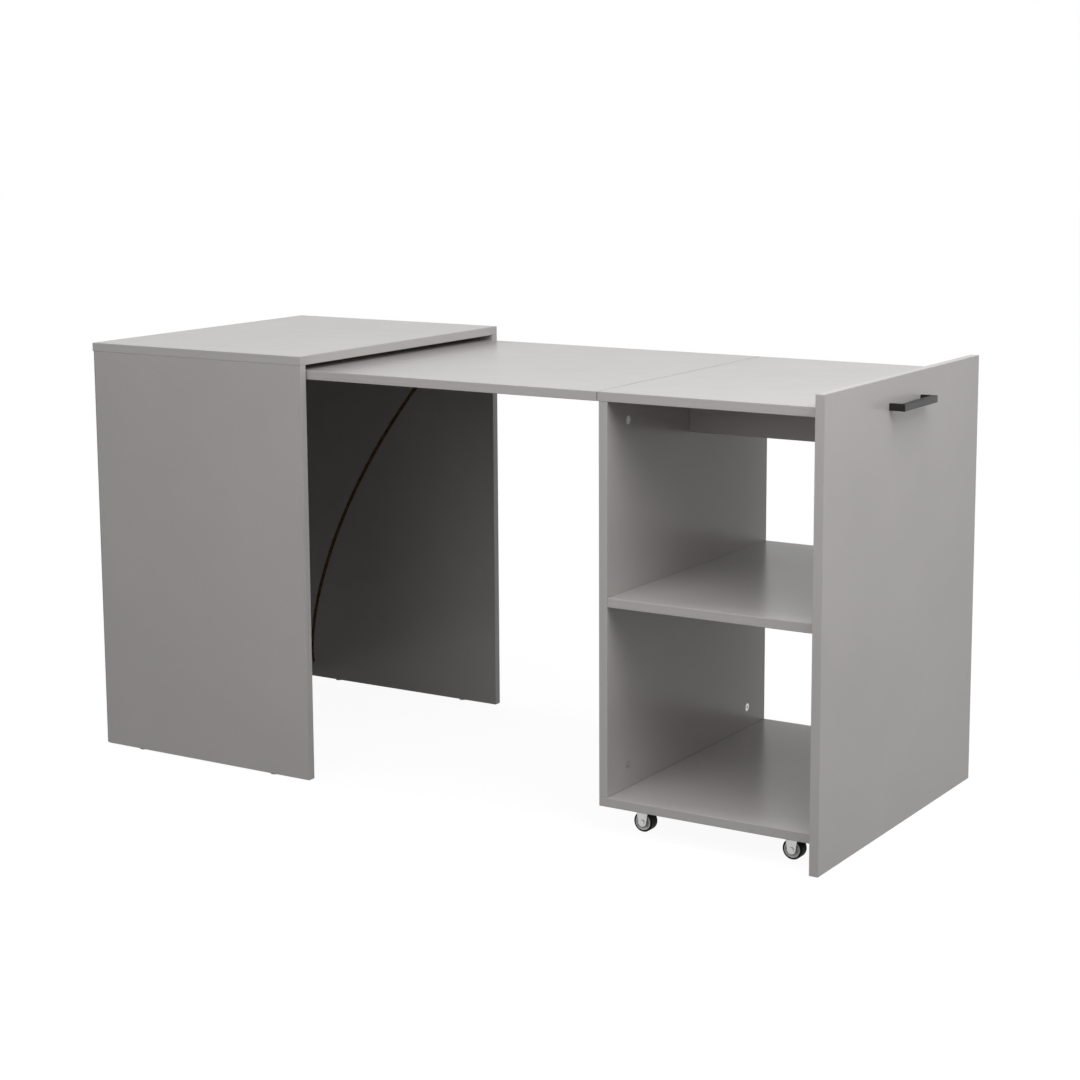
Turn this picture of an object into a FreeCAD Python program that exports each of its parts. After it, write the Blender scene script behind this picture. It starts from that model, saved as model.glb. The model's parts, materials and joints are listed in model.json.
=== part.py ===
import FreeCAD, Part
import math
import os
import Sketcher

# An extendable desk of melamine board: a case open at one end, a wheeled cart that rolls out of it,
# and a leaf hinged to the cart, whose pins run in grooves of the case and lift it to desktop height.
# X runs along the desk towards the handle, Y away from the front, Z up. The origin is on the floor,
# under the middle of the pulled-out desk.

Vector = FreeCAD.Vector
AXES = {
    "+X": Vector(1, 0, 0), "-X": Vector(-1, 0, 0),
    "+Y": Vector(0, 1, 0), "-Y": Vector(0, -1, 0),
    "+Z": Vector(0, 0, 1), "-Z": Vector(0, 0, -1),
}

# Driving dimensions in millimetres, and the fold in degrees
DIMS = {
    # case and boards
    "board": 16.0,
    "edge_round": 0.8,
    "shell_length": 488.0,
    "shell_width": 630.0,
    "shell_height": 770.0,
    "floor_gap": 2.0,
    "back_thick": 3.0,
    "back_recess": 2.0,
    "back_inset": 1.0,
    # desktop, leaf and its travel
    "top_gap": 10.0,
    "side_gap": 4.0,
    "knee_gap": 596.0,
    "fold_room": 92.0,
    "top_overhang": 2.9,
    "leaf_overlap": 111.0,
    "seam_gap": 1.5,
    "close_gap": 1.0,
    "fold_angle": 85.5,
    # guide pins and grooves
    "pin_inset": 12.0,
    "pin_tip": 7.0,
    "pin_play": 0.5,
    "groove_depth": 8.0,
    "pin_end_play": 2.0,
    "pin_shank": 8.0,
    "pin_shank_length": 20.0,
    "pin_flange": 12.0,
    "pin_flange_thick": 1.5,
    # cart
    "caster_height": 46.5,
    "rail_height": 84.0,
    "rail_inset": 280.0,
    "back_set": 9.0,
    "end_gap": 1.0,
    "end_drop": 3.0,
    # butt hinges between leaf and cart
    "hinge_out": 3.2,
    "hinge_length": 60.0,
    "hinge_inset": 160.0,
    "hinge_leaf_width": 26.0,
    "plate_thick": 1.2,
    "knuckle_radius": 2.8,
    "knuckle_gap": 0.4,
    "hinge_pin_radius": 1.25,
    "running_clearance": 0.06,
    "hinge_screw_spread": 20.0,
    # cam fittings and dowels
    "cam_diameter": 15.0,
    "cam_setback": 38.0,
    "cam_web": 3.5,
    "cam_recess": 0.4,
    "cam_slot_width": 1.8,
    "cam_slot_length": 9.0,
    "cam_slot_depth": 2.0,
    "bolt_diameter": 6.8,
    "bolt_neck": 4.0,
    "bolt_head": 3.0,
    "bolt_neck_length": 4.0,
    "bolt_bite": 11.0,
    "dowel_diameter": 8.0,
    "dowel_length": 30.0,
    "dowel_bite": 11.0,
    "fit_gap": 0.1,
    "shell_cam_inset": 60.0,
    "shell_dowel_inset": 110.0,
    "cart_cam_inset": 70.0,
    "cart_dowel_inset": 115.0,
    "bottom_cam_inset": 150.0,
    "bottom_dowel_inset": 190.0,
    "rail_dowel_spread": 24.0,
    # handle
    "handle_drop": 47.0,
    "handle_spacing": 128.0,
    "handle_post": 7.0,
    "handle_bar": 9.0,
    "handle_tall": 12.0,
    "handle_reach": 28.0,
    "handle_round": 1.0,
    "handle_screw": 4.0,
    "handle_screw_bite": 12.0,
    "handle_screw_head": 8.0,
    "handle_screw_head_tall": 2.4,
    # casters
    "caster_inset_left": 61.5,
    "caster_inset_right": 58.5,
    "caster_inset_side": 50.0,
    "wheel_diameter": 35.0,
    "wheel_core": 28.0,
    "wheel_hub": 11.0,
    "wheel_dish": 24.0,
    "wheel_dish_depth": 1.2,
    "spoke_width": 3.0,
    "window_low": 6.5,
    "window_high": 10.5,
    "window_depth": 5.5,
    "tyre_width": 20.0,
    "tyre_round": 2.0,
    "hub_proud": 0.6,
    "fork_play": 0.4,
    "fork_thick": 2.0,
    "fork_length": 46.0,
    "fork_width": 38.0,
    "fork_leg_top": 24.0,
    "fork_leg_end": 7.5,
    "axle_diameter": 5.0,
    "axle_head": 8.5,
    "axle_head_tall": 1.6,
    "caster_screw_x": 17.0,
    "caster_screw_y": 14.0,
    # small screws, nails and glides
    "screw_shank": 3.2,
    "screw_bite": 11.0,
    "screw_head": 6.0,
    "screw_head_tall": 1.2,
    "cross_width": 1.0,
    "cross_length": 3.6,
    "cross_depth": 0.7,
    "nail_shank": 1.6,
    "nail_bite": 18.0,
    "nail_head": 3.2,
    "nail_head_tall": 0.6,
    "nail_inset": 40.0,
    "glide_diameter": 14.0,
    "glide_nail": 3.0,
    "glide_nail_bite": 14.0,
    "glide_inset": 86.0,
}
NAILS_PER_SIDE = 7
SPOKES = 5
GROOVE_SPANS = 14

# Places worked out from the driving dimensions
PLACES = {
    "cart_length": "dims.shell_length - dims.fold_room",
    "overall": "dims.shell_length + dims.knee_gap + place.cart_length + dims.board + dims.handle_reach",
    "left": "-place.overall / 2",
    "panel_left": "place.left + dims.back_recess + dims.back_thick",
    "mouth": "place.left + dims.shell_length",
    "cart_left": "place.mouth + dims.knee_gap",
    "bay_left": "place.cart_left + dims.board",
    "end_inner": "place.cart_left + place.cart_length",
    "end_outer": "place.end_inner + dims.board",
    "front": "-dims.shell_width / 2",
    "rear": "dims.shell_width / 2",
    "inner_front": "place.front + dims.board",
    "inner_rear": "place.rear - dims.board",
    "desk_front": "place.inner_front + dims.side_gap",
    "desk_rear": "place.inner_rear - dims.side_gap",
    "desk_depth": "place.desk_rear - place.desk_front",
    "carcass_rear": "place.desk_rear - dims.back_set",
    "carcass_depth": "place.carcass_rear - place.desk_front",
    "carcass_middle": "place.desk_front + place.carcass_depth / 2",
    "rail_front": "place.desk_front + dims.rail_inset",
    "shell_under": "dims.shell_height - dims.board",
    "end_top": "dims.shell_height - dims.end_drop",
    "desk_top": "place.shell_under - dims.top_gap",
    "desk_under": "place.desk_top - dims.board",
    "bottom_top": "dims.caster_height + dims.board",
    "shelf_low": "(place.bottom_top + place.desk_under - dims.board) / 2",
    "rail_low": "place.desk_under - dims.rail_height",
    "rail_mid": "place.desk_under - dims.rail_height / 2",
    "hinge_x": "place.cart_left - dims.hinge_out",
    "hinge_z": "place.desk_under - dims.hinge_out",
    "travel": "dims.knee_gap + place.cart_length - dims.close_gap",
    "leaf_length": "dims.knee_gap - dims.top_overhang - dims.seam_gap + dims.leaf_overlap",
    "leaf_left": "place.cart_left - dims.top_overhang - dims.seam_gap - place.leaf_length",
    "pin_x": "place.leaf_left + dims.pin_inset",
    "pin_z": "place.desk_top - dims.board / 2",
    "groove_width": "dims.pin_tip + 2 * dims.pin_play",
    "handle_z": "place.end_top - dims.handle_drop",
    "wheel_radius": "dims.wheel_diameter / 2",
    "hub_width": "dims.tyre_width + 2 * dims.hub_proud",
    "fork_gap": "place.hub_width + 2 * dims.fork_play",
    "axle_length": "place.fork_gap + 2 * dims.fork_thick",
    "cam_height": "dims.board - dims.cam_web - dims.cam_recess",
    "knuckle": "(dims.hinge_length - 2 * dims.knuckle_gap) / 3",
}

doc = FreeCAD.newDocument("extendable_desk")
nodes = {}
blanks = {}
cutters = {}


def fill_sheet():
    """Write the driving dimensions into the sheet, one alias per row."""
    sheet = doc.addObject("Spreadsheet::Sheet", "dims")
    for row, (name, value) in enumerate(DIMS.items(), start=1):
        sheet.set(f"A{row}", name)
        sheet.set(f"B{row}", str(value))
        sheet.setAlias(f"B{row}", name)
    doc.recompute()


def fill_places():
    """Bind the worked-out places to the sheet."""
    place = doc.addObject("App::VarSet", "place")
    for name, formula in PLACES.items():
        place.addProperty("App::PropertyFloat", name, "Places")
        place.setExpression(name, formula)
    doc.recompute()
    return place


def put(item, point):
    """Bind an object's position to three formulas."""
    for letter, formula in zip("xyz", point):
        item.setExpression(f"Placement.Base.{letter}", str(formula))


def shifted(point, axis, distance):
    """The point moved by a formula's length along a signed axis."""
    moved = list(point)
    index = "XYZ".index(axis[1])
    moved[index] = f"{moved[index]} {axis[0]} ({distance})"
    return tuple(moved)


def turn_to(axis):
    """The rotation that points local +Z along a signed axis."""
    return FreeCAD.Rotation(AXES["+Z"], AXES[axis])


def primitive(kind, name, sizes, point, rotation=None):
    """A Part primitive whose sizes and position follow formulas."""
    item = doc.addObject(f"Part::{kind}", name)
    for size, formula in sizes.items():
        item.setExpression(size, formula)
    if rotation:
        item.Placement = FreeCAD.Placement(Vector(), rotation)
    put(item, point)
    return item


def box(name, size, point):
    return primitive("Box", name, dict(zip(("Length", "Width", "Height"), size)), point)


def cylinder(name, radius, length, point, axis="+Z"):
    return primitive("Cylinder", name, {"Radius": radius, "Height": length}, point, turn_to(axis))


def fused(name, shapes):
    if len(shapes) == 1:
        return shapes[0]
    union = doc.addObject("Part::MultiFuse", name)
    union.Shapes = shapes
    return union


def cut(name, base, tools):
    result = doc.addObject("Part::Cut", name)
    result.Base = base
    result.Tool = fused(f"{name}_bores", tools)
    return result


def new_body(name):
    return doc.addObject("PartDesign::Body", name)


def new_sketch(body, role, suffix):
    """A sketch on one of the body's own origin planes."""
    sketch = body.newObject("Sketcher::SketchObject", f"{body.Name}_{suffix}")
    plane = next(item for item in body.Origin.OriginFeatures if item.Role == role)
    sketch.AttachmentSupport = (plane, [""])
    sketch.MapMode = "FlatFace"
    return sketch


def fix(sketch, kind, *references, formula):
    """A dimension of a sketch, bound to a formula."""
    first_guess = 10.0
    index = sketch.addConstraint(Sketcher.Constraint(kind, *references, first_guess))
    sketch.setExpression(f"Constraints[{index}]", formula)


def closed_outline(sketch, points):
    """Straight lines round a list of points, joined end to end."""
    start = sketch.GeometryCount
    count = len(points)
    for index, point in enumerate(points):
        sketch.addGeometry(Part.LineSegment(point, points[(index + 1) % count]))
    for index in range(count):
        following = start + (index + 1) % count
        sketch.addConstraint(Sketcher.Constraint("Coincident", start + index, 2, following, 1))
    return start


def rectangle(sketch, width, height, centred=False):
    corners = [Vector(-5, -5), Vector(5, -5), Vector(5, 5), Vector(-5, 5)]
    first = closed_outline(sketch, corners)
    for offset, kind in enumerate(("Horizontal", "Vertical", "Horizontal", "Vertical")):
        sketch.addConstraint(Sketcher.Constraint(kind, first + offset))
    if centred:
        sketch.addConstraint(Sketcher.Constraint("Symmetric", first, 1, first + 2, 1, -1, 1))
    else:
        sketch.addConstraint(Sketcher.Constraint("Coincident", first, 1, -1, 1))
    fix(sketch, "DistanceX", first, 1, first, 2, formula=width)
    fix(sketch, "DistanceY", first + 1, 1, first + 1, 2, formula=height)


def circle(sketch, diameter, x=None, y=None):
    """A circle at the sketch's origin, or at x and y from it."""
    ring = sketch.addGeometry(Part.Circle(Vector(10, 10), AXES["+Z"], 5))
    if x is None:
        sketch.addConstraint(Sketcher.Constraint("PointOnObject", ring, 3, -2))
    else:
        fix(sketch, "DistanceX", -1, 1, ring, 3, formula=x)
    if y is None:
        sketch.addConstraint(Sketcher.Constraint("PointOnObject", ring, 3, -1))
    else:
        fix(sketch, "DistanceY", -1, 1, ring, 3, formula=y)
    fix(sketch, "Diameter", ring, formula=diameter)


def pad(body, sketch, length, reverse=False, midplane=False):
    feature = body.newObject("PartDesign::Pad", f"{sketch.Name}_pad")
    feature.Profile = sketch
    feature.setExpression("Length", length)
    feature.Reversed = reverse
    feature.Midplane = midplane
    doc.recompute()
    return feature


def pocket(body, sketch, length, reverse=False, midplane=False):
    feature = body.newObject("PartDesign::Pocket", f"{sketch.Name}_pocket")
    feature.Profile = sketch
    feature.setExpression("Length", length)
    feature.Reversed = reverse
    feature.Midplane = midplane
    doc.recompute()
    return feature


def round_edges(body, feature, edges, radius):
    rounding = body.newObject("PartDesign::Fillet", f"{body.Name}_rounding")
    rounding.Base = (feature, edges)
    rounding.setExpression("Radius", radius)
    doc.recompute()
    return rounding


def turned(name, steps, bore=None):
    """A turned piece along local +Z: steps are lengths with diameters, and bore a hole through all."""
    body = new_body(name)
    profile = new_sketch(body, "XZ_Plane", "profile")
    inside = 1.0 if bore else 0.0
    points = [Vector(inside, 0)]
    for number in range(len(steps)):
        radius = 5.0 + number % 2
        points += [Vector(radius, 5.0 * number), Vector(radius, 5.0 * (number + 1))]
    points.append(Vector(inside, 5.0 * len(steps)))
    closed_outline(profile, points)
    for index in range(len(points)):
        kind = "Vertical" if index % 2 else "Horizontal"
        profile.addConstraint(Sketcher.Constraint(kind, index))
    if bore:
        profile.addConstraint(Sketcher.Constraint("PointOnObject", 0, 1, -1))
        fix(profile, "DistanceX", -1, 1, 0, 1, formula=f"({bore}) / 2")
    else:
        profile.addConstraint(Sketcher.Constraint("Coincident", 0, 1, -1, 1))
    for number, (length, diameter) in enumerate(steps):
        wall = 2 * number + 1
        fix(profile, "DistanceY", wall, 1, wall, 2, formula=length)
        fix(profile, "DistanceX", -1, 1, wall, 1, formula=f"({diameter}) / 2")
    spin = body.newObject("PartDesign::Revolution", f"{name}_spin")
    spin.Profile = profile
    spin.ReferenceAxis = (profile, ["V_Axis"])
    spin.Angle = 360
    doc.recompute()
    return body


def cross_recess(body, width, length, depth):
    """A cross cut down into the face at the body's origin, which looks along -Z."""
    for suffix, size in (("slot_x", (length, width)), ("slot_y", (width, length))):
        slot = new_sketch(body, "XY_Plane", suffix)
        rectangle(slot, *size, centred=True)
        pocket(body, slot, depth, reverse=True)


def screw(name, head, head_tall, shank, length):
    """A pan-head screw: the head's face at the origin, the shank towards local +Z."""
    body = turned(name, [(head_tall, head), (length, shank)])
    cross_recess(body, "dims.cross_width", "dims.cross_length", "dims.cross_depth")
    return body


def copies(name, master, places):
    """One node of separate copies of a master piece, each at a point and rotation."""
    links = []
    for number, (point, rotation) in enumerate(places, start=1):
        link = doc.addObject("App::Link", f"{name}_{number}")
        link.LinkedObject = master
        link.Placement = FreeCAD.Placement(Vector(), rotation)
        put(link, point)
        links.append(link)
    group = doc.addObject("Part::Compound", name)
    group.Links = links
    nodes[name] = group


def single(name, master, point, rotation):
    """A node that is one copy of a master piece."""
    link = doc.addObject("App::Link", name)
    link.LinkedObject = master
    link.Placement = FreeCAD.Placement(Vector(), rotation)
    put(link, point)
    nodes[name] = link


def board(name, size, corner, soft_edges=True):
    """A board with softened edges, before it is drilled."""
    blank = new_body(f"{name}_blank")
    outline = new_sketch(blank, "XY_Plane", "outline")
    rectangle(outline, size[0], size[1])
    slab = pad(blank, outline, size[2])
    if soft_edges:
        edges = [f"Edge{number}" for number in range(1, len(slab.Shape.Edges) + 1)]
        round_edges(blank, slab, edges, "dims.edge_round")
    put(blank, corner)
    blanks[name] = blank
    cutters[name] = []


def drill(boards, axis, start, diameter, length):
    """One straight hole, cut out of every board that it passes through."""
    number = sum(len(tools) for tools in cutters.values()) + 1
    tool = cylinder(f"bore_{number}", f"({diameter}) / 2", length, start, axis)
    for name in boards:
        cutters[name].append(tool)


def finish_boards():
    """Drill each board, and make it a node."""
    for name, blank in blanks.items():
        nodes[name] = cut(name, blank, cutters[name])


def make_boards():
    wide = "dims.shell_width"
    panel_length = "place.mouth - place.panel_left"
    panel_tall = "place.shell_under - dims.floor_gap"
    board("shell_top", ("dims.shell_length", wide, "dims.board"),
          ("place.left", "place.front", "place.shell_under"))
    board("shell_front_panel", (panel_length, "dims.board", panel_tall),
          ("place.panel_left", "place.front", "dims.floor_gap"))
    board("shell_rear_panel", (panel_length, "dims.board", panel_tall),
          ("place.panel_left", "place.inner_rear", "dims.floor_gap"))
    board("shell_back_board",
          ("dims.back_thick", f"{wide} - 2 * dims.back_inset", f"{panel_tall} - dims.back_inset"),
          ("place.left + dims.back_recess", "place.front + dims.back_inset",
           "dims.floor_gap + dims.back_inset"),
          soft_edges=False)
    board("leaf_board", ("place.leaf_length", "place.desk_depth", "dims.board"),
          ("place.leaf_left", "place.desk_front", "place.desk_under"))
    board("cart_top", ("place.cart_length + dims.top_overhang", "place.desk_depth", "dims.board"),
          ("place.cart_left - dims.top_overhang", "place.desk_front", "place.desk_under"))
    board("cart_side_panel", ("dims.board", "place.carcass_depth", "place.desk_under - place.bottom_top"),
          ("place.cart_left", "place.desk_front", "place.bottom_top"))
    board("cart_shelf", ("place.cart_length - dims.board", "place.carcass_depth", "dims.board"),
          ("place.bay_left", "place.desk_front", "place.shelf_low"))
    board("cart_bottom", ("place.cart_length", "place.carcass_depth", "dims.board"),
          ("place.cart_left", "place.desk_front", "dims.caster_height"))
    board("cart_end_panel", ("dims.board", wide, "place.end_top - dims.end_gap"),
          ("place.end_inner", "place.front", "dims.end_gap"))
    board("cart_rail", ("place.cart_length - dims.board", "dims.board", "dims.rail_height"),
          ("place.bay_left", "place.rail_front", "place.rail_low"))


def make_cam():
    """A cam housing: its slotted face at the origin looking along +Z, its bolt entering from +X."""
    body = new_body("cam")
    outline = new_sketch(body, "XY_Plane", "outline")
    circle(outline, "dims.cam_diameter - 2 * dims.fit_gap")
    pad(body, outline, "place.cam_height", reverse=True)
    for suffix, size in (("slot_x", ("dims.cam_slot_length", "dims.cam_slot_width")),
                         ("slot_y", ("dims.cam_slot_width", "dims.cam_slot_length"))):
        slot = new_sketch(body, "XY_Plane", suffix)
        rectangle(slot, *size, centred=True)
        pocket(body, slot, "dims.cam_slot_depth")
    mouth = new_sketch(body, "YZ_Plane", "mouth")
    circle(mouth, "dims.bolt_diameter + 2 * dims.fit_gap", y="dims.cam_recess - dims.board / 2")
    pocket(body, mouth, "dims.cam_diameter", reverse=True)
    return body


def make_cam_bolt():
    """A cam bolt along local +Z: its head at the cam's middle, its thread in the next board."""
    shank = "dims.cam_setback - dims.fit_gap - dims.bolt_head - dims.bolt_neck_length + dims.bolt_bite"
    return turned("cam_bolt", [
        ("dims.bolt_head", "dims.bolt_diameter"),
        ("dims.bolt_neck_length", "dims.bolt_neck"),
        (shank, "dims.bolt_diameter"),
    ])


class Joinery:
    """Cams, bolts and dowels that join the boards of one rigid group."""

    def __init__(self):
        self.cams = []
        self.bolts = []
        self.dowels = []

    def cam(self, edge_board, face_board, point, normal, toward):
        """A cam in a board's face at point, its bolt running towards the board that it pulls in."""
        across = AXES[normal].cross(AXES[toward])
        rotation = FreeCAD.Rotation(AXES[toward], across, AXES[normal], "XZY")
        inward = ("-" if normal[0] == "+" else "+") + normal[1]
        self.cams.append((shifted(point, inward, "dims.cam_recess"), rotation))
        middle = shifted(point, inward, "dims.board / 2")
        self.bolts.append((shifted(middle, toward, "dims.fit_gap"), turn_to(toward)))
        drill([edge_board], inward, point, "dims.cam_diameter", "dims.board - dims.cam_web")
        drill([edge_board, face_board], toward, middle, "dims.bolt_diameter + dims.fit_gap",
              "dims.cam_setback + dims.bolt_bite + dims.fit_gap")

    def dowel(self, edge_board, face_board, point, toward):
        """A dowel across the joint at point, with its bite in the face board."""
        back = ("-" if toward[0] == "+" else "+") + toward[1]
        start = shifted(point, back, "dims.dowel_length - dims.dowel_bite")
        self.dowels.append((start, turn_to(toward)))
        drill([edge_board, face_board], toward, shifted(start, back, "dims.fit_gap"),
              "dims.dowel_diameter + dims.fit_gap", "dims.dowel_length + 2 * dims.fit_gap")

    def make_nodes(self, prefix):
        copies(f"{prefix}_cams", cam_master, self.cams)
        copies(f"{prefix}_cam_bolts", bolt_master, self.bolts)
        copies(f"{prefix}_dowels", dowel_master, self.dowels)


def both_ends(low, high, inset):
    """Two places along a board, each the same inset from its end."""
    return (f"{low} + {inset}", f"{high} - {inset}")


def join_shell():
    joinery = Joinery()
    for panel, inner_face, middle, normal in (
        ("shell_front_panel", "place.inner_front", "place.front + dims.board / 2", "+Y"),
        ("shell_rear_panel", "place.inner_rear", "place.rear - dims.board / 2", "-Y"),
    ):
        for x in both_ends("place.panel_left", "place.mouth", "dims.shell_cam_inset"):
            point = (x, inner_face, "place.shell_under - dims.cam_setback")
            joinery.cam(panel, "shell_top", point, normal, "+Z")
        for x in both_ends("place.panel_left", "place.mouth", "dims.shell_dowel_inset"):
            joinery.dowel(panel, "shell_top", (x, middle, "place.shell_under"), "+Z")
    joinery.make_nodes("shell")


def join_cart():
    joinery = Joinery()
    side_middle = "place.cart_left + dims.board / 2"
    left_cam = "place.bay_left + dims.cam_setback"
    right_cam = "place.end_inner - dims.cam_setback"
    cam_rows = both_ends("place.desk_front", "place.carcass_rear", "dims.cart_cam_inset")
    dowel_rows = both_ends("place.desk_front", "place.carcass_rear", "dims.cart_dowel_inset")
    for y in cam_rows:
        joinery.cam("cart_side_panel", "cart_bottom",
                    ("place.bay_left", y, "place.bottom_top + dims.cam_setback"), "+X", "-Z")
        joinery.cam("cart_side_panel", "cart_top",
                    ("place.bay_left", y, "place.desk_under - dims.cam_setback"), "+X", "+Z")
        joinery.cam("cart_shelf", "cart_side_panel", (left_cam, y, "place.shelf_low"), "-Z", "-X")
        joinery.cam("cart_shelf", "cart_end_panel", (right_cam, y, "place.shelf_low"), "-Z", "+X")
        joinery.cam("cart_top", "cart_end_panel", (right_cam, y, "place.desk_under"), "-Z", "+X")
    for y in both_ends("place.desk_front", "place.carcass_rear", "dims.bottom_cam_inset"):
        joinery.cam("cart_bottom", "cart_end_panel", (right_cam, y, "dims.caster_height"), "-Z", "+X")
    for y in dowel_rows:
        joinery.dowel("cart_side_panel", "cart_bottom", (side_middle, y, "place.bottom_top"), "-Z")
        joinery.dowel("cart_side_panel", "cart_top", (side_middle, y, "place.desk_under"), "+Z")
        shelf_middle = "place.shelf_low + dims.board / 2"
        joinery.dowel("cart_shelf", "cart_side_panel", ("place.bay_left", y, shelf_middle), "-X")
        joinery.dowel("cart_shelf", "cart_end_panel", ("place.end_inner", y, shelf_middle), "+X")
        top_middle = "place.desk_under + dims.board / 2"
        joinery.dowel("cart_top", "cart_end_panel", ("place.end_inner", y, top_middle), "+X")
    for y in both_ends("place.desk_front", "place.carcass_rear", "dims.bottom_dowel_inset"):
        bottom_middle = "dims.caster_height + dims.board / 2"
        joinery.dowel("cart_bottom", "cart_end_panel", ("place.end_inner", y, bottom_middle), "+X")
    rail_face = "place.rail_front + dims.board"
    rail_core = "place.rail_front + dims.board / 2"
    for x, face_x, face_board, toward in (
        (left_cam, "place.bay_left", "cart_side_panel", "-X"),
        (right_cam, "place.end_inner", "cart_end_panel", "+X"),
    ):
        joinery.cam("cart_rail", face_board, (x, rail_face, "place.rail_mid"), "+Y", toward)
        for sign in "+-":
            z = f"place.rail_mid {sign} dims.rail_dowel_spread"
            joinery.dowel("cart_rail", face_board, (face_x, rail_core, z), toward)
    joinery.make_nodes("cart")


def pin_centre(turn):
    """Where a guide pin stands, in X and Z, when the leaf is folded by turn radians."""
    reach = place.hinge_x - place.pin_x
    lift = place.pin_z - place.hinge_z
    hinge_x = place.hinge_x - turn * place.travel / full_fold
    x = hinge_x - reach * math.cos(turn) - lift * math.sin(turn)
    z = place.hinge_z - reach * math.sin(turn) + lift * math.cos(turn)
    return Vector(x, 0, z)


def groove_face():
    """The groove's outline in the XZ plane: two curves beside the pin's path, and round ends."""
    half = place.groove_width / 2
    step = full_fold / GROOVE_SPANS
    sides = {1: [], -1: []}
    nudge = step / 100
    for span in range(GROOVE_SPANS + 1):
        turn = span * step
        along = pin_centre(turn + nudge) - pin_centre(turn - nudge)
        along.normalize()
        across = Vector(along.z, 0, -along.x)
        for side, points in sides.items():
            points.append(pin_centre(turn) + across * half * side)
        if span == 0:
            first_tip = pin_centre(turn) - along * half
        last_tip = pin_centre(turn) + along * half
    walls = []
    for points in sides.values():
        wall = Part.BSplineCurve()
        wall.interpolate(points)
        walls.append(wall.toShape())
    near, far = sides.values()
    caps = [Part.Arc(near[0], first_tip, far[0]).toShape(), Part.Arc(near[-1], last_tip, far[-1]).toShape()]
    outline = Part.Wire(Part.__sortEdges__(walls + caps))
    return Part.Face(outline)


def make_grooves():
    """Cut the guide groove into the inner face of both side panels, a mirror pair."""
    depth = float(sheet.get("groove_depth"))
    past_face = float(sheet.get("side_gap"))
    outline = groove_face()
    for panel, floor_y, run in (
        ("shell_front_panel", place.inner_front - depth, depth + past_face),
        ("shell_rear_panel", place.inner_rear + depth, -depth - past_face),
    ):
        groove = doc.addObject("Part::Feature", f"{panel}_groove")
        groove.Shape = outline.extrude(Vector(0, run, 0))
        groove.Placement = FreeCAD.Placement(Vector(0, floor_y, 0), FreeCAD.Rotation())
        cutters[panel].append(groove)


def make_leaf_pins():
    """Flanged guide pins in the leaf's side edges, their tips in the grooves."""
    tip = "dims.side_gap - dims.pin_flange_thick + dims.groove_depth - dims.pin_end_play"
    pin = turned("guide_pin", [
        ("dims.pin_shank_length", "dims.pin_shank"),
        ("dims.pin_flange_thick", "dims.pin_flange"),
        (tip, "dims.pin_tip"),
    ])
    for end, edge, outward, inward in (("front", "place.desk_front", "-Y", "+Y"),
                                       ("rear", "place.desk_rear", "+Y", "-Y")):
        mouth = ("place.pin_x", edge, "place.pin_z")
        shank_end = shifted(mouth, inward, "dims.pin_shank_length")
        single(f"leaf_guide_pin_{end}", pin, shank_end, turn_to(outward))
        drill(["leaf_board"], inward, mouth, "dims.pin_shank + dims.fit_gap",
              "dims.pin_shank_length + dims.fit_gap")


def hinge_plate(name, knuckles):
    """A hinge plate about an axis on local Y: knuckles are the parts of its length that hold the pin."""
    low = "-dims.hinge_length / 2"
    level = "dims.hinge_out - dims.plate_thick"
    clear = "dims.knuckle_radius + dims.knuckle_gap"
    flat_width = f"dims.hinge_leaf_width - ({clear})"
    solids = [box(f"{name}_flat", (flat_width, "dims.hinge_length", "dims.plate_thick"),
                  ("-dims.hinge_leaf_width", low, level))]
    for number in knuckles:
        start = f"{low} + {number} * (place.knuckle + dims.knuckle_gap)"
        solids.append(box(f"{name}_tab_{number}", (clear, "place.knuckle", "dims.plate_thick"),
                          (f"-({clear})", start, level)))
        solids.append(cylinder(f"{name}_knuckle_{number}", "dims.knuckle_radius", "place.knuckle",
                               ("0", start, "0"), "+Y"))
    bores = [cylinder(f"{name}_pin_bore", "dims.hinge_pin_radius + dims.running_clearance",
                      "dims.hinge_length + 2 * dims.knuckle_gap",
                      ("0", f"{low} - dims.knuckle_gap", "0"), "+Y")]
    for sign in "+-":
        bores.append(cylinder(f"{name}_screw_bore_{'near' if sign == '-' else 'far'}",
                              "(dims.screw_shank + dims.fit_gap) / 2", "2 * dims.plate_thick",
                              ("-dims.hinge_leaf_width / 2 - dims.knuckle_radius / 2",
                               f"{sign}dims.hinge_screw_spread", f"{level} - dims.plate_thick / 2")))
    return cut(name, fused(f"{name}_body", solids), bores)


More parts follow.
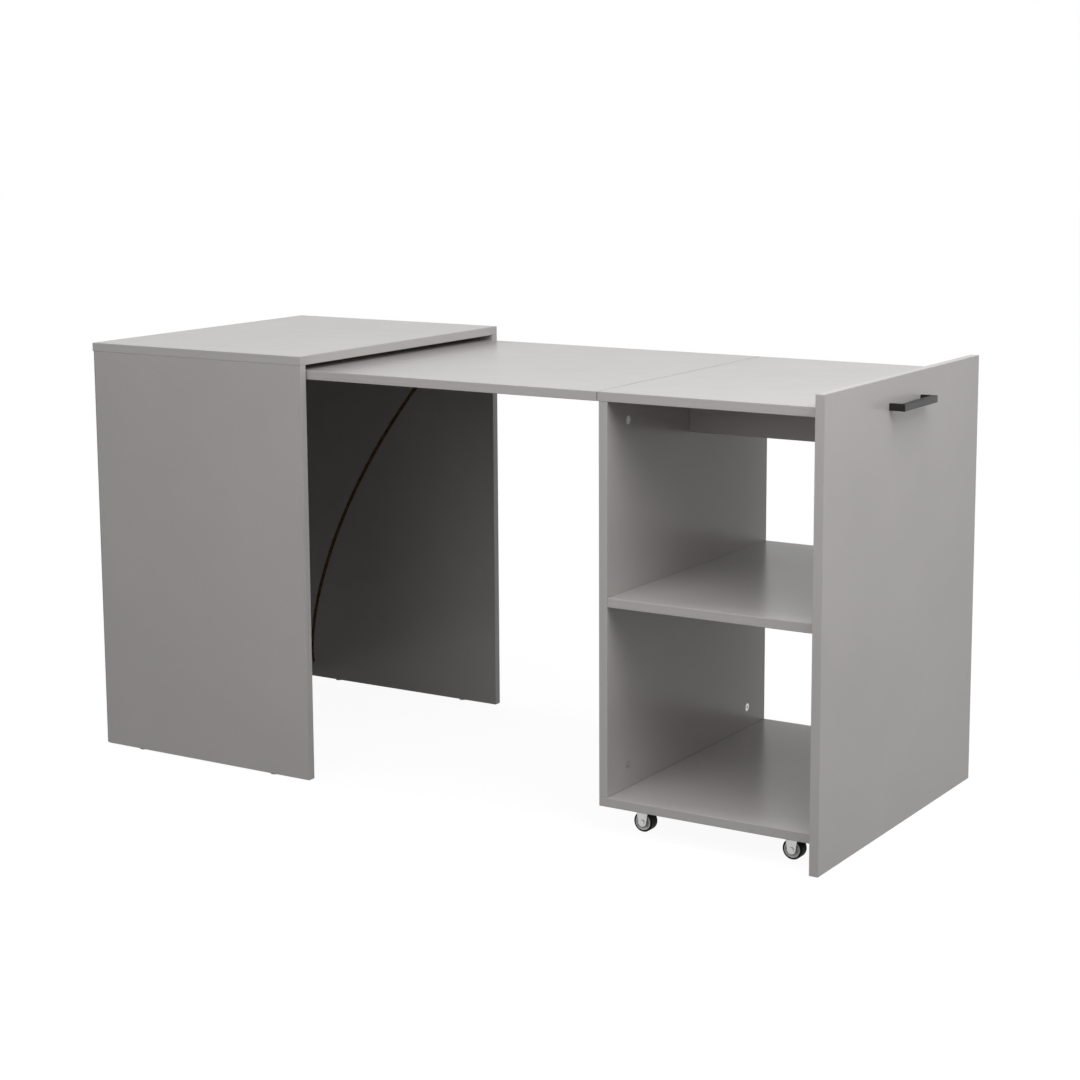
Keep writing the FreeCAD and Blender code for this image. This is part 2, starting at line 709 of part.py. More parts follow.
def make_hinges():
    """Three butt hinges in the corner between the leaf's underside and the cart's side panel."""
    leaf_plate = hinge_plate("leaf_hinge_plate", (0, 2))
    cart_plate = hinge_plate("cart_hinge_plate", (1,))
    pin = turned("hinge_pin", [("dims.hinge_length", "2 * dims.hinge_pin_radius")])
    swap_x_and_z = FreeCAD.Rotation(Vector(1, 0, 1), 180)
    out_from_axis = "dims.hinge_leaf_width / 2 + dims.knuckle_radius / 2"
    seat = "dims.plate_thick + dims.screw_head_tall"
    leaf_screws = []
    cart_screws = []
    for spot, y in (("front", "place.desk_front + dims.hinge_inset"), ("middle", "0"),
                    ("rear", "place.desk_rear - dims.hinge_inset")):
        axis = ("place.hinge_x", y, "place.hinge_z")
        single(f"leaf_hinge_plate_{spot}", leaf_plate, axis, FreeCAD.Rotation())
        single(f"cart_hinge_plate_{spot}", cart_plate, axis, swap_x_and_z)
        single(f"hinge_pin_{spot}", pin, shifted(axis, "-Y", "dims.hinge_length / 2"), turn_to("+Y"))
        for side in ("+Y", "-Y"):
            beside = shifted(axis, side, "dims.hinge_screw_spread")
            under_leaf = shifted(shifted(beside, "-X", out_from_axis), "+Z", f"dims.hinge_out - ({seat})")
            leaf_screws.append((under_leaf, turn_to("+Z")))
            drill(["leaf_board"], "+Z", under_leaf, "dims.screw_shank + dims.fit_gap",
                  f"dims.screw_bite + {seat}")
            on_side = shifted(shifted(beside, "-Z", out_from_axis), "+X", f"dims.hinge_out - ({seat})")
            cart_screws.append((on_side, turn_to("+X")))
            drill(["cart_side_panel"], "+X", on_side, "dims.screw_shank + dims.fit_gap",
                  f"dims.screw_bite + {seat}")
    plate_screw = screw("plate_screw", "dims.screw_head", "dims.screw_head_tall", "dims.screw_shank",
                        "dims.plate_thick + dims.screw_bite - dims.fit_gap")
    copies("leaf_hinge_screws", plate_screw, leaf_screws)
    copies("cart_hinge_screws", plate_screw, cart_screws)


def make_handle():
    """A square bow handle on the end panel, held by two screws from inside the cart."""
    body = new_body("handle")
    outline = new_sketch(body, "XY_Plane", "outline")
    rectangle(outline, "dims.handle_reach", "dims.handle_spacing + dims.handle_post", centred=True)
    bow = pad(body, outline, "dims.handle_tall", midplane=True)
    edges = [f"Edge{number}" for number in range(1, len(bow.Shape.Edges) + 1)]
    round_edges(body, bow, edges, "dims.handle_round")
    window = new_sketch(body, "XY_Plane", "window")
    finger_room = "dims.handle_reach - dims.handle_bar"
    rectangle(window, f"2 * ({finger_room})", "dims.handle_spacing - dims.handle_post", centred=True)
    window.setExpression("AttachmentOffset.Base.x",
                         f"dims.handle_reach / 2 - dims.handle_bar - ({finger_room})")
    pocket(body, window, "2 * dims.handle_tall", midplane=True)
    tapped = new_sketch(body, "YZ_Plane", "tapped")
    for sign in "+-":
        circle(tapped, "dims.handle_screw + dims.fit_gap", x=f"{sign}dims.handle_spacing / 2")
    tapped.setExpression("AttachmentOffset.Base.z", "-dims.handle_reach / 2")
    pocket(body, tapped, "dims.handle_screw_bite + dims.fit_gap", reverse=True)
    put(body, ("place.end_outer + dims.handle_reach / 2", "place.carcass_middle", "place.handle_z"))
    nodes["handle"] = body
    long_screw = screw("long_screw", "dims.handle_screw_head", "dims.handle_screw_head_tall",
                       "dims.handle_screw", "dims.board + dims.handle_screw_bite")
    spots = []
    for side in ("+Y", "-Y"):
        middle = ("place.end_inner", "place.carcass_middle", "place.handle_z")
        seat = shifted(middle, side, "dims.handle_spacing / 2")
        spots.append((shifted(seat, "-X", "dims.handle_screw_head_tall"), turn_to("+X")))
        drill(["cart_end_panel"], "+X", shifted(seat, "-X", "dims.board / 2"),
              "dims.handle_screw + dims.fit_gap", "2 * dims.board")
    copies("handle_screws", long_screw, spots)


def make_fork():
    """A pressed fork: a screw plate at local z = 0 and two legs down to the axle."""
    body = new_body("caster_fork")
    plate = new_sketch(body, "XY_Plane", "plate")
    rectangle(plate, "dims.fork_length", "dims.fork_width", centred=True)
    pad(body, plate, "dims.fork_thick", reverse=True)
    leg = new_sketch(body, "XZ_Plane", "leg")
    top = leg.addGeometry(Part.LineSegment(Vector(10, -1), Vector(-10, -1)))
    left = leg.addGeometry(Part.LineSegment(Vector(-10, -1), Vector(-6, -28)))
    foot = Part.Circle(Vector(0, -28), AXES["+Z"], 6)
    end = leg.addGeometry(Part.ArcOfCircle(foot, math.pi, 2 * math.pi))
    right = leg.addGeometry(Part.LineSegment(Vector(6, -28), Vector(10, -1)))
    leg.addConstraint(Sketcher.Constraint("Coincident", top, 2, left, 1))
    leg.addConstraint(Sketcher.Constraint("Tangent", left, 2, end, 1))
    leg.addConstraint(Sketcher.Constraint("Tangent", end, 2, right, 1))
    leg.addConstraint(Sketcher.Constraint("Coincident", right, 2, top, 1))
    leg.addConstraint(Sketcher.Constraint("Symmetric", top, 1, top, 2, -2))
    leg.addConstraint(Sketcher.Constraint("PointOnObject", end, 3, -2))
    fix(leg, "DistanceX", top, 2, top, 1, formula="dims.fork_leg_top")
    fix(leg, "DistanceY", top, 1, -1, 1, formula="dims.fork_thick / 2")
    fix(leg, "DistanceY", end, 3, -1, 1, formula="dims.caster_height - place.wheel_radius")
    fix(leg, "Radius", end, formula="dims.fork_leg_end")
    pad(body, leg, "place.axle_length", midplane=True)
    gap = new_sketch(body, "YZ_Plane", "gap")
    rectangle(gap, "place.fork_gap", "2 * (dims.caster_height + dims.fork_leg_end)", centred=True)
    gap.setExpression("AttachmentOffset.Base.y",
                      "-dims.fork_thick - dims.caster_height - dims.fork_leg_end")
    pocket(body, gap, "2 * dims.fork_length", midplane=True)
    axle = new_sketch(body, "XZ_Plane", "axle")
    hole = axle.addGeometry(Part.Circle(Vector(0, -20), AXES["+Z"], 2))
    axle.addConstraint(Sketcher.Constraint("PointOnObject", hole, 3, -2))
    fix(axle, "DistanceY", hole, 3, -1, 1, formula="dims.caster_height - place.wheel_radius")
    fix(axle, "Diameter", hole, formula="dims.axle_diameter + dims.fit_gap")
    pocket(body, axle, "2 * dims.fork_width", midplane=True)
    screws = new_sketch(body, "XY_Plane", "screws")
    for x_sign in "+-":
        for y_sign in "+-":
            circle(screws, "dims.screw_shank + dims.fit_gap",
                   x=f"{x_sign}dims.caster_screw_x", y=f"{y_sign}dims.caster_screw_y")
    pocket(body, screws, "2 * dims.fork_thick", midplane=True)
    return body


def spoke_windows(body, suffix, level, reverse):
    """Blind windows between the spokes of one side of the wheel core."""
    window = new_sketch(body, "XY_Plane", suffix)
    window.setExpression("AttachmentOffset.Base.z", level)
    corners = [Vector(-3, 6), Vector(3, 6), Vector(6, 10), Vector(-6, 10)]
    low = closed_outline(window, corners)
    high = low + 2
    half_sector = math.pi / SPOKES
    for line, size in ((low, "dims.window_low"), (high, "dims.window_high")):
        window.addConstraint(Sketcher.Constraint("Symmetric", line, 1, line, 2, -2))
        fix(window, "DistanceY", -1, 1, line, 1, formula=size)
    for line, size, ends in ((low, "dims.window_low", (1, 2)), (high, "dims.window_high", (2, 1))):
        width = f"2 * {size} * {math.tan(half_sector)} - dims.spoke_width / {math.cos(half_sector)}"
        fix(window, "DistanceX", line, ends[0], line, ends[1], formula=width)
    first = pocket(body, window, "dims.window_depth", reverse=reverse)
    ring = body.newObject("PartDesign::PolarPattern", f"{window.Name}_ring")
    ring.Originals = [first]
    ring.Axis = (window, ["N_Axis"])
    ring.Angle = 360
    ring.Occurrences = SPOKES
    body.Tip = ring
    doc.recompute()


def make_wheel_core():
    """A wheel core along local +Z: hub faces proud of the rim, both sides dished between spokes."""
    body = turned("wheel_core", [
        ("dims.hub_proud", "dims.wheel_hub"),
        ("dims.tyre_width", "dims.wheel_core"),
        ("dims.hub_proud", "dims.wheel_hub"),
    ], bore="dims.axle_diameter + 2 * dims.running_clearance")
    for suffix, level, reverse in (("dish_low", "dims.hub_proud", True),
                                   ("dish_high", "dims.hub_proud + dims.tyre_width", False)):
        dish = new_sketch(body, "XY_Plane", suffix)
        dish.setExpression("AttachmentOffset.Base.z", level)
        circle(dish, "dims.wheel_dish")
        circle(dish, "dims.wheel_hub")
        pocket(body, dish, "dims.wheel_dish_depth", reverse=reverse)
        spoke_windows(body, f"{suffix}_window", level, reverse)
    return body


def make_tyre():
    """A tyre ring along local +Z with rounded shoulders."""
    body = turned("wheel_tyre", [("dims.tyre_width", "dims.wheel_diameter")], bore="dims.wheel_core")
    shoulders = []
    for number, edge in enumerate(body.Shape.Edges, start=1):
        is_round = isinstance(edge.Curve, Part.Circle)
        if is_round and edge.Curve.Radius > (place.wheel_radius + float(sheet.get("wheel_core")) / 2) / 2:
            shoulders.append(f"Edge{number}")
    round_edges(body, body.Tip, shoulders, "dims.tyre_round")
    return body


def make_casters():
    """Four fixed casters: fork, axle, wheel core and tyre each, with their plate screws."""
    fork = make_fork()
    axle = turned("caster_axle", [
        ("dims.axle_head_tall", "dims.axle_head"),
        ("place.axle_length", "dims.axle_diameter"),
        ("dims.axle_head_tall", "dims.axle_head"),
    ])
    core = make_wheel_core()
    tyre = make_tyre()
    along_y = turn_to("+Y")
    spots = []
    for depth, y in (("front", "place.desk_front + dims.caster_inset_side"),
                     ("rear", "place.carcass_rear - dims.caster_inset_side")):
        for side, x in (("left", "place.cart_left + dims.caster_inset_left"),
                        ("right", "place.end_inner - dims.caster_inset_right")):
            where = f"{depth}_{side}"
            plate = (x, y, "dims.caster_height")
            hub = (x, y, "place.wheel_radius")
            single(f"caster_fork_{where}", fork, plate, FreeCAD.Rotation())
            single(f"caster_axle_{where}", axle,
                   shifted(hub, "-Y", "place.axle_length / 2 + dims.axle_head_tall"), along_y)
            single(f"wheel_core_{where}", core, shifted(hub, "-Y", "place.hub_width / 2"), along_y)
            single(f"wheel_tyre_{where}", tyre, shifted(hub, "-Y", "dims.tyre_width / 2"), along_y)
            for x_side in ("+X", "-X"):
                for y_side in ("+Y", "-Y"):
                    beside = shifted(plate, x_side, "dims.caster_screw_x")
                    hole = shifted(beside, y_side, "dims.caster_screw_y")
                    seat = shifted(hole, "-Z", "dims.fork_thick + dims.screw_head_tall")
                    spots.append((seat, turn_to("+Z")))
                    drill(["cart_bottom"], "+Z", shifted(hole, "-Z", "dims.fork_thick"),
                          "dims.screw_shank + dims.fit_gap", "dims.screw_bite + dims.fork_thick")
    caster_screw = screw("caster_screw", "dims.screw_head", "dims.screw_head_tall", "dims.screw_shank",
                         "dims.fork_thick + dims.screw_bite - dims.fit_gap")
    copies("caster_screws", caster_screw, spots)


def make_nails():
    """Nails that hold the thin back board on the edges of the side panels."""
    nail = turned("back_nail", [("dims.nail_head_tall", "dims.nail_head"),
                                ("dims.back_thick + dims.nail_bite", "dims.nail_shank")])
    spots = []
    face = "place.left + dims.back_recess"
    run = "(place.shell_under - dims.floor_gap - 2 * dims.nail_inset)"
    for panel, y in (("shell_front_panel", "place.front + dims.board / 2"),
                     ("shell_rear_panel", "place.rear - dims.board / 2")):
        for number in range(NAILS_PER_SIDE):
            z = f"dims.floor_gap + dims.nail_inset + {run} * {number} / {NAILS_PER_SIDE - 1}"
            spots.append(((f"{face} - dims.nail_head_tall", y, z), turn_to("+X")))
            drill(["shell_back_board", panel], "+X", (face, y, z), "dims.nail_shank + dims.fit_gap",
                  "dims.back_thick + dims.nail_bite + dims.fit_gap")
    copies("shell_back_nails", nail, spots)


def make_glides():
    """Nail-on glides under the side panels."""
    glide = turned("glide", [("dims.floor_gap", "dims.glide_diameter"),
                             ("dims.glide_nail_bite", "dims.glide_nail")])
    for end, panel, y in (("front", "shell_front_panel", "place.front + dims.board / 2"),
                          ("rear", "shell_rear_panel", "place.rear - dims.board / 2")):
        spots = []
        for x in both_ends("place.left", "place.mouth", "dims.glide_inset"):
            spots.append(((x, y, "0"), FreeCAD.Rotation()))
            drill([panel], "+Z", (x, y, "dims.floor_gap - dims.fit_gap"), "dims.glide_nail + dims.fit_gap",
                  "dims.glide_nail_bite + 2 * dims.fit_gap")
        copies(f"glides_{end}", glide, spots)


def check_model():
    """Stop on a failed object, an empty or broken shape, or a cut that removes nothing."""
    for item in doc.Objects:
        if "Invalid" in item.State or "Error" in item.State:
            raise RuntimeError(f"{item.Label} failed: {item.State}")
        if item.TypeId == "PartDesign::Pocket" and item.Shape.Volume >= item.BaseFeature.Shape.Volume:
            raise RuntimeError(f"{item.Label} cuts nothing")
        if item.TypeId == "Part::Cut" and item.Shape.Volume >= item.Base.Shape.Volume:
            raise RuntimeError(f"{item.Label} cuts nothing")
    for name, item in nodes.items():
        shape = Part.getShape(item)
        if shape.isNull() or not shape.isValid() or not shape.Solids:
            raise RuntimeError(f"{name} has no sound shape")


def write_parts():
    os.makedirs("parts", exist_ok=True)
    for name, item in nodes.items():
        item.Label = name
        Part.getShape(item).exportStep(f"parts/{name}.step")


fill_sheet()
sheet = doc.getObject("dims")
place = fill_places()
full_fold = math.radians(float(sheet.get("fold_angle")))
make_boards()
cam_master = make_cam()
bolt_master = make_cam_bolt()
dowel_master = turned("dowel", [("dims.dowel_length", "dims.dowel_diameter")])
join_shell()
join_cart()
make_grooves()
make_leaf_pins()
make_hinges()
make_handle()
make_casters()
make_nails()
make_glides()
finish_boards()
doc.recompute()
check_model()
write_parts()
print(f"{len(nodes)} nodes, overall length {place.overall:.1f} mm, travel {place.travel:.1f} mm")
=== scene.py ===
import json
import math

import bpy
from mathutils import Matrix, Vector


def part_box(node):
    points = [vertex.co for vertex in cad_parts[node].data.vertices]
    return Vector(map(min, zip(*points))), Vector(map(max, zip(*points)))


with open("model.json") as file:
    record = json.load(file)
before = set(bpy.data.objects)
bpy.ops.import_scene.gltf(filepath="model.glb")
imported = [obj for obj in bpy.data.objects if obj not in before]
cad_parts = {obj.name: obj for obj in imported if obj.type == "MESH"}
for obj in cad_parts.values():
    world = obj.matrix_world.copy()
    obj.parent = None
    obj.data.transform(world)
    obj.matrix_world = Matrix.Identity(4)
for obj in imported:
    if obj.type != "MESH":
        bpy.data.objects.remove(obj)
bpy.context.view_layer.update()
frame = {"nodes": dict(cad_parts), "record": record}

# Looks of the extendable desk: a procedural finish for every node, studio light and the camera.
# Lengths are in metres, angles in degrees, colours in linear light.

MM = 0.001

# Colours of the finishes
BOARD_GREY = (0.513, 0.494, 0.483)
BAND_GREY = (0.536, 0.518, 0.507)
GLUE_LINE = (0.30, 0.29, 0.28)
CHIP_LIGHT = (0.36, 0.25, 0.14)
CHIP_DARK = (0.13, 0.08, 0.045)
HARDBOARD_GREY = (0.40, 0.395, 0.388)
BEECH_LIGHT = (0.62, 0.43, 0.26)
BEECH_DARK = (0.45, 0.28, 0.15)
ZINC_GREY = (0.78, 0.78, 0.77)
STEEL_GREY = (0.52, 0.52, 0.515)
HANDLE_BLACK = (0.0095, 0.009, 0.0085)
WHEEL_GREY = (0.82, 0.82, 0.81)
TYRE_BLACK = (0.008, 0.008, 0.008)
GLIDE_WHITE = (0.62, 0.62, 0.60)

# Noise hardly ever leaves this range
NOISE_LOW = 0.3
NOISE_HIGH = 0.7

# Depths under a board's outside between which its core of chips comes to show in holes and grooves
CORE_FROM = 0.54 * MM
CORE_TO = 0.66 * MM
# Edge band round a board, half the glue line between it and the board's face, and its rounding
BAND_THICK = 0.4 * MM
GLUE_HALF = 0.15 * MM
BAND_RADIUS = 1.3 * MM
# Satin gloss of the boards, which mirrors the light openings at a low angle
BOARD_SMOOTH = 0.25
BOARD_ROUGH = 0.27
BOARD_SHEEN = 0.16

# Camera, at the photo's viewing angle
CAMERA_PLACE = Vector((2.2146, -3.4824, 1.2122))
CAMERA_AZIMUTH = 32.181
CAMERA_ELEVATION = 9.2615
CAMERA_ROLL = -0.3148
CAMERA_LENS = 76.653
CAMERA_SENSOR = 36.0
CAMERA_SHIFT_UP = -0.0606

# Floor: a dark paper that the eye sees as white, a little under the desk
FLOOR_SIZE = 40.0
FLOOR_DROP = 0.2 * MM
FLOOR_GREY = 0.10
FLOOR_GLOW = 0.94
# Sky: its light, and the backdrop that is white up to one elevation and grey from another
SKY_STRENGTH = 0.42
BACKDROP_WHITE_TO = 12.0
BACKDROP_GREY_FROM = 24.0
BACKDROP_GREY = 0.45
# Soft boxes round the desk: azimuth from the front towards the right, elevation, watts
AIM = Vector((0.0, 0.0, 0.4))
BOX_SIZE = 1.6
BOX_DISTANCE = 2.7
SOFT_BOXES = {
    "front_light": (0.0, 30.0, 12.0),
    "high_right_light": (60.0, 45.0, 26.0),
    "low_right_light": (90.0, 22.0, 8.2),
}
# Broad, even light from the left, low enough for the case's top to shade the leaf beside it
LEFT_AZIMUTH = 270.0
LEFT_ELEVATION = 21.0
LEFT_SPREAD = 26.0
LEFT_STRENGTH = 1.4


def opaque(colour):
    return (*colour, 1.0)


def grey(level):
    return opaque((level, level, level))


class Nodes:
    """A node tree, with short calls for the nodes that the materials and the sky share."""

    def __init__(self, tree):
        self.tree = tree

    def add(self, kind, **settings):
        node = self.tree.nodes.new(kind)
        for name, value in settings.items():
            setattr(node, name, value)
        return node

    def feed(self, socket, value):
        """Link an output to a socket, or set the socket to a plain value."""
        if isinstance(value, bpy.types.NodeSocket):
            self.tree.links.new(value, socket)
        else:
            socket.default_value = value

    def fill(self, node, values):
        """Feed a node's first sockets, in their order."""
        for socket, value in zip(node.inputs, values):
            self.feed(socket, value)
        return node

    def maths(self, operation, *values):
        return self.fill(self.add("ShaderNodeMath", operation=operation), values).outputs[0]

    def vector(self, operation, *values):
        return self.fill(self.add("ShaderNodeVectorMath", operation=operation), values).outputs[0]

    def parts(self, vector):
        """The X, Y and Z of a vector."""
        return self.fill(self.add("ShaderNodeSeparateXYZ"), (vector,)).outputs

    def spread(self, value, low, high, start=0.0, end=1.0):
        """Map a value's range onto another one, with its ends held."""
        return self.fill(self.add("ShaderNodeMapRange"), (value, low, high, start, end)).outputs[0]

    def seen(self):
        """1 for rays that reach the eye straight, by reflection or through glass, and else 0."""
        path = self.add("ShaderNodeLightPath").outputs
        straight = self.maths("MAXIMUM", path["Is Camera Ray"], path["Is Glossy Ray"])
        return self.maths("MAXIMUM", straight, path["Is Transmission Ray"])


class Finish(Nodes):
    """A material, with calls for what the finishes are made of."""

    def __init__(self, name):
        self.material = bpy.data.materials.new(name)
        self.material.use_nodes = True
        super().__init__(self.material.node_tree)
        self.surface = self.tree.nodes["Principled BSDF"]
        self.place = self.add("ShaderNodeTexCoord").outputs["Object"]

    def noise(self, size, detail=2.0):
        """Noise whose features are about size metres."""
        node = self.add("ShaderNodeTexNoise")
        self.feed(node.inputs["Vector"], self.place)
        node.inputs["Scale"].default_value = 1.0 / size
        node.inputs["Detail"].default_value = detail
        return node.outputs["Fac"]

    def vary(self, size, low, high, detail=2.0):
        """A value that wanders between two ends, in patches of about size metres."""
        return self.spread(self.noise(size, detail), NOISE_LOW, NOISE_HIGH, low, high)

    def cells(self, size):
        """The random grey of chips about size metres across."""
        node = self.add("ShaderNodeTexVoronoi")
        self.feed(node.inputs["Vector"], self.place)
        node.inputs["Scale"].default_value = 1.0 / size
        return self.parts(node.outputs["Color"])[0]

    def blend(self, factor, first, second):
        """A colour between two, by a factor."""
        node = self.add("ShaderNodeMix", data_type="RGBA")
        self.feed(node.inputs["Factor"], factor)
        for name, colour in (("A", first), ("B", second)):
            socket = next(s for s in node.inputs if s.name == name and s.type == "RGBA")
            self.feed(socket, opaque(colour) if isinstance(colour, tuple) else colour)
        return next(s for s in node.outputs if s.type == "RGBA")

    def shaded(self, colour, factor):
        """A colour made lighter or darker by a factor near 1."""
        node = self.add("ShaderNodeVectorMath", operation="SCALE")
        self.feed(node.inputs[0], colour)
        self.feed(node.inputs["Scale"], factor)
        return node.outputs[0]

    def bump(self, height, depth, strength, arris=0.0):
        """Fine relief on the surface, over edges rounded to a radius."""
        node = self.add("ShaderNodeBump")
        node.inputs["Strength"].default_value = strength
        node.inputs["Distance"].default_value = depth
        self.feed(node.inputs["Height"], height)
        if arris:
            rounded = self.add("ShaderNodeBevel")
            rounded.inputs["Radius"].default_value = arris
            self.feed(node.inputs["Normal"], rounded.outputs["Normal"])
        self.feed(self.surface.inputs["Normal"], node.outputs["Normal"])

    def set(self, **values):
        """Set or link the shader's own sockets, by their names in small letters."""
        sockets = {s.name.lower().replace(" ", "_"): s for s in self.surface.inputs}
        for name, value in values.items():
            self.feed(sockets[name], value)
        return self.material


def board_finish(node):
    """Grey melamine: pearled faces, edge bands with a glue line, and raw chips inside its holes."""
    low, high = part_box(node)
    sides = high - low
    thickness = min(range(3), key=lambda axis: sides[axis])
    finish = Finish(f"board_{node}")

    clouds = finish.vary(size=220 * MM, low=0.975, high=1.025)
    specks = finish.vary(size=1.1 * MM, low=0.97, high=1.03)
    face = finish.shaded(BOARD_GREY, finish.maths("MULTIPLY", clouds, specks))
    band = finish.shaded(BAND_GREY, clouds)
    chips = finish.blend(finish.cells(size=2.2 * MM), CHIP_LIGHT, CHIP_DARK)

    # How far a point lies under the board's six sides, and how far from its edges
    middle = tuple((low + high) / 2)
    from_middle = finish.vector("ABSOLUTE", finish.vector("SUBTRACT", finish.place, middle))
    under = finish.parts(finish.vector("SUBTRACT", tuple(sides / 2), from_middle))
    from_edge = finish.maths("MINIMUM", *(under[axis] for axis in range(3) if axis != thickness))
    depth = finish.maths("MINIMUM", from_edge, under[thickness])

    glue = BAND_THICK + GLUE_HALF
    to_glue = finish.spread(from_edge, BAND_THICK, glue)
    past_glue = finish.spread(from_edge, glue, glue + GLUE_HALF)
    outside = finish.blend(past_glue, finish.blend(to_glue, band, GLUE_LINE), face)
    is_core = finish.spread(depth, CORE_FROM, CORE_TO)
    satin = finish.vary(size=40 * MM, low=BOARD_SMOOTH, high=BOARD_ROUGH)
    pearls = finish.noise(size=0.9 * MM, detail=3.0)
    finish.bump(pearls, depth=0.01 * MM, strength=0.35, arris=BAND_RADIUS)
    return finish.set(base_color=finish.blend(is_core, outside, chips),
                      roughness=finish.maths("MAXIMUM", is_core, satin),
                      specular_ior_level=BOARD_SHEEN)


def hardboard_finish():
    """Lacquered hardboard with its fibres showing through."""
    finish = Finish("lacquered_hardboard")
    tone = finish.vary(size=3 * MM, low=0.94, high=1.06, detail=4.0)
    finish.bump(finish.noise(size=1.5 * MM, detail=4.0), depth=0.08 * MM, strength=0.5)
    return finish.set(base_color=finish.shaded(HARDBOARD_GREY, tone),
                      roughness=finish.vary(size=9 * MM, low=0.45, high=0.6))


def beech_finish():
    """Raw beech with a fine fibre over its broader grain."""
    finish = Finish("raw_beech")
    grain = finish.noise(size=4.8 * MM, detail=3.0)
    fibre = finish.maths("ADD", grain, finish.noise(size=0.5 * MM))
    figure = finish.spread(fibre, low=0.8, high=1.2)
    finish.bump(figure, depth=0.05 * MM, strength=0.4)
    return finish.set(base_color=finish.blend(figure, BEECH_LIGHT, BEECH_DARK), roughness=0.7)


def metal_finish(name, colour, smooth, rough, grain):
    """Plated or cast metal, its sheen broken by fine grain."""
    finish = Finish(name)
    tone = finish.vary(size=4 * MM, low=0.93, high=1.05, detail=3.0)
    finish.bump(finish.noise(size=grain, detail=3.0), depth=0.02 * MM, strength=0.35)
    return finish.set(base_color=finish.shaded(colour, tone), metallic=1.0,
                      roughness=finish.vary(size=3 * MM, low=smooth, high=rough, detail=3.0))


def handle_finish():
    """Black powder coat with a fine orange peel."""
    finish = Finish("black_powder_coat")
    tone = finish.vary(size=5 * MM, low=0.9, high=1.1)
    finish.bump(finish.noise(size=0.6 * MM), depth=0.04 * MM, strength=0.5)
    return finish.set(base_color=finish.shaded(HANDLE_BLACK, tone),
                      roughness=finish.vary(size=2 * MM, low=0.32, high=0.42))


def plastic_finish(name, colour, smooth, rough):
    """Moulded plastic with a fine spark-eroded texture."""
    finish = Finish(name)
    tone = finish.vary(size=6 * MM, low=0.96, high=1.04)
    finish.bump(finish.noise(size=0.4 * MM), depth=0.02 * MM, strength=0.4)
    return finish.set(base_color=finish.shaded(colour, tone),
                      roughness=finish.vary(size=2 * MM, low=smooth, high=rough))


def rubber_finish():
    """Tyre rubber, dusted lighter in patches."""
    finish = Finish("tyre_rubber")
    patches = finish.noise(size=4 * MM, detail=4.0)
    dust = finish.spread(patches, low=0.45, high=0.8, start=1.0, end=1.8)
    finish.bump(finish.noise(size=0.7 * MM, detail=3.0), depth=0.04 * MM, strength=0.5)
    return finish.set(base_color=finish.shaded(TYRE_BLACK, dust), specular_ior_level=0.2,
                      roughness=finish.vary(size=3 * MM, low=0.62, high=0.8))


def dress_nodes():
    """Give every node the finish of its material slot, and each board one of its own."""
    shared = {
        "back_board": hardboard_finish(),
        "dowel_wood": beech_finish(),
        "zinc_cast": metal_finish("cast_zinc", ZINC_GREY, smooth=0.34, rough=0.5, grain=0.5 * MM),
        "steel": metal_finish("plated_steel", STEEL_GREY, smooth=0.22, rough=0.36, grain=0.8 * MM),
        "handle_black": handle_finish(),
        "wheel_grey": plastic_finish("wheel_plastic", WHEEL_GREY, smooth=0.36, rough=0.48),
        "tyre_black": rubber_finish(),
        "glide_plastic": plastic_finish("glide_plastic", GLIDE_WHITE, smooth=0.4, rough=0.55),
    }
    for part in frame["record"]["subparts"]:
        node, slot = part["node"], part["material_slot"]
        material = shared[slot] if slot in shared else board_finish(node)
        for place in frame["nodes"][node].material_slots:
            place.material = material


def make_floor():
    """A pale floor that shows white and keeps the desk's shadow."""
    half = FLOOR_SIZE / 2
    corners = [(-half, -half, -FLOOR_DROP), (half, -half, -FLOOR_DROP),
               (half, half, -FLOOR_DROP), (-half, half, -FLOOR_DROP)]
    mesh = bpy.data.meshes.new("floor")
    mesh.from_pydata(corners, [], [(0, 1, 2, 3)])
    paper = Finish("floor_paper")
    glow = paper.maths("MULTIPLY", paper.seen(), FLOOR_GLOW)
    paper.set(base_color=grey(FLOOR_GREY), roughness=1.0, specular_ior_level=0.0,
              emission_color=grey(1.0), emission_strength=glow)
    mesh.materials.append(paper.material)
    floor = bpy.data.objects.new("floor", mesh)
    bpy.context.scene.collection.objects.link(floor)


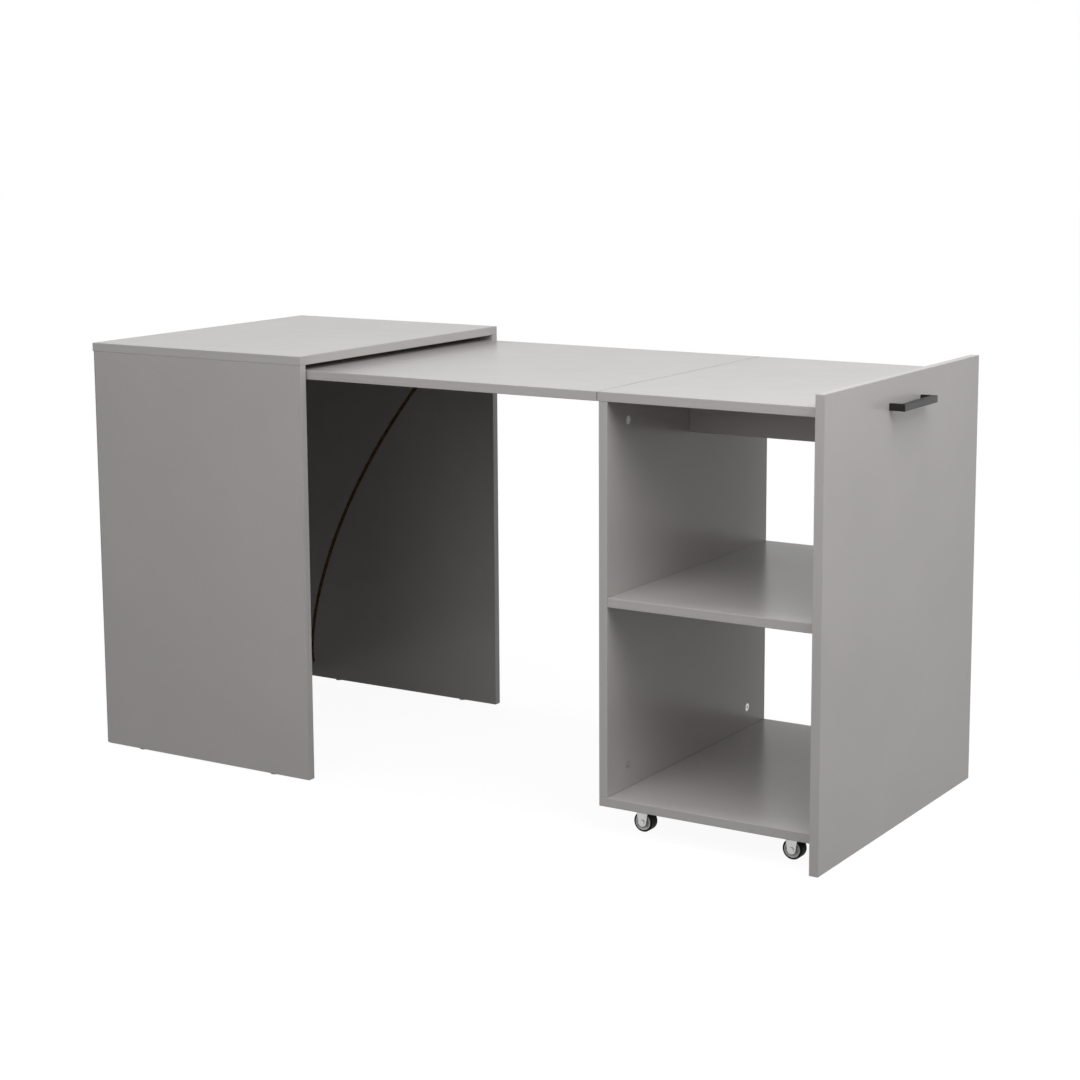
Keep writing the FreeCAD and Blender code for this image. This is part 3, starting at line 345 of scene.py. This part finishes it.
def make_sky():
    """A dim sky that shows as a white backdrop, greyer high up."""
    world = bpy.data.worlds.new("studio")
    bpy.context.scene.world = world
    world.use_nodes = True
    sky = Nodes(world.node_tree)
    height = sky.parts(sky.add("ShaderNodeTexCoord").outputs["Generated"])["Z"]
    white_to, grey_from = (math.sin(math.radians(elevation))
                           for elevation in (BACKDROP_WHITE_TO, BACKDROP_GREY_FROM))
    fade = sky.spread(height, white_to, grey_from, 1.0, BACKDROP_GREY)
    light = sky.fill(sky.tree.nodes["Background"], (grey(1.0), SKY_STRENGTH))
    backdrop = sky.fill(sky.add("ShaderNodeBackground"), (grey(1.0), fade))
    choice = sky.fill(sky.add("ShaderNodeMixShader"),
                      (sky.seen(), light.outputs[0], backdrop.outputs[0]))
    sky.feed(sky.tree.nodes["World Output"].inputs["Surface"], choice.outputs[0])


def outward(azimuth, elevation):
    """The direction away from the desk, at an azimuth from the front towards the right."""
    turn, rise = math.radians(azimuth), math.radians(elevation)
    level = math.cos(rise)
    return Vector((math.sin(turn) * level, -math.cos(turn) * level, math.sin(rise)))


def hang_lamp(lamp, azimuth, elevation, power):
    """Hang a lamp round the desk, facing it. The gloss mirrors the surround, but no lamp."""
    away = outward(azimuth, elevation)
    lamp.energy = power
    holder = bpy.data.objects.new(lamp.name, lamp)
    holder.location = AIM + BOX_DISTANCE * away
    holder.rotation_euler = away.to_track_quat("Z", "Y").to_euler()
    holder.visible_glossy = False
    bpy.context.scene.collection.objects.link(holder)


def make_lamps():
    """The soft boxes and the light from the left."""
    for name, (azimuth, elevation, watts) in SOFT_BOXES.items():
        box = bpy.data.lights.new(name, "AREA")
        box.shape = "SQUARE"
        box.size = BOX_SIZE
        hang_lamp(box, azimuth, elevation, watts)
    left = bpy.data.lights.new("left_light", "SUN")
    left.angle = math.radians(LEFT_SPREAD)
    hang_lamp(left, LEFT_AZIMUTH, LEFT_ELEVATION, LEFT_STRENGTH)


def make_camera():
    """The camera, level but for a slight roll, with its lens shifted."""
    back = outward(CAMERA_AZIMUTH, CAMERA_ELEVATION)
    right = outward(CAMERA_AZIMUTH + 90.0, 0.0)
    facing = Matrix((right, back.cross(right), back)).transposed().to_4x4()
    roll = Matrix.Rotation(math.radians(CAMERA_ROLL), 4, "Z")
    lens = bpy.data.cameras.new("camera")
    lens.lens = CAMERA_LENS
    lens.sensor_width = CAMERA_SENSOR
    lens.shift_y = CAMERA_SHIFT_UP
    camera = bpy.data.objects.new("camera", lens)
    camera.matrix_world = Matrix.Translation(CAMERA_PLACE) @ facing @ roll
    bpy.context.scene.collection.objects.link(camera)
    bpy.context.scene.camera = camera


dress_nodes()
make_floor()
make_sky()
make_lamps()
make_camera()
bpy.context.scene.view_settings.view_transform = "Standard"
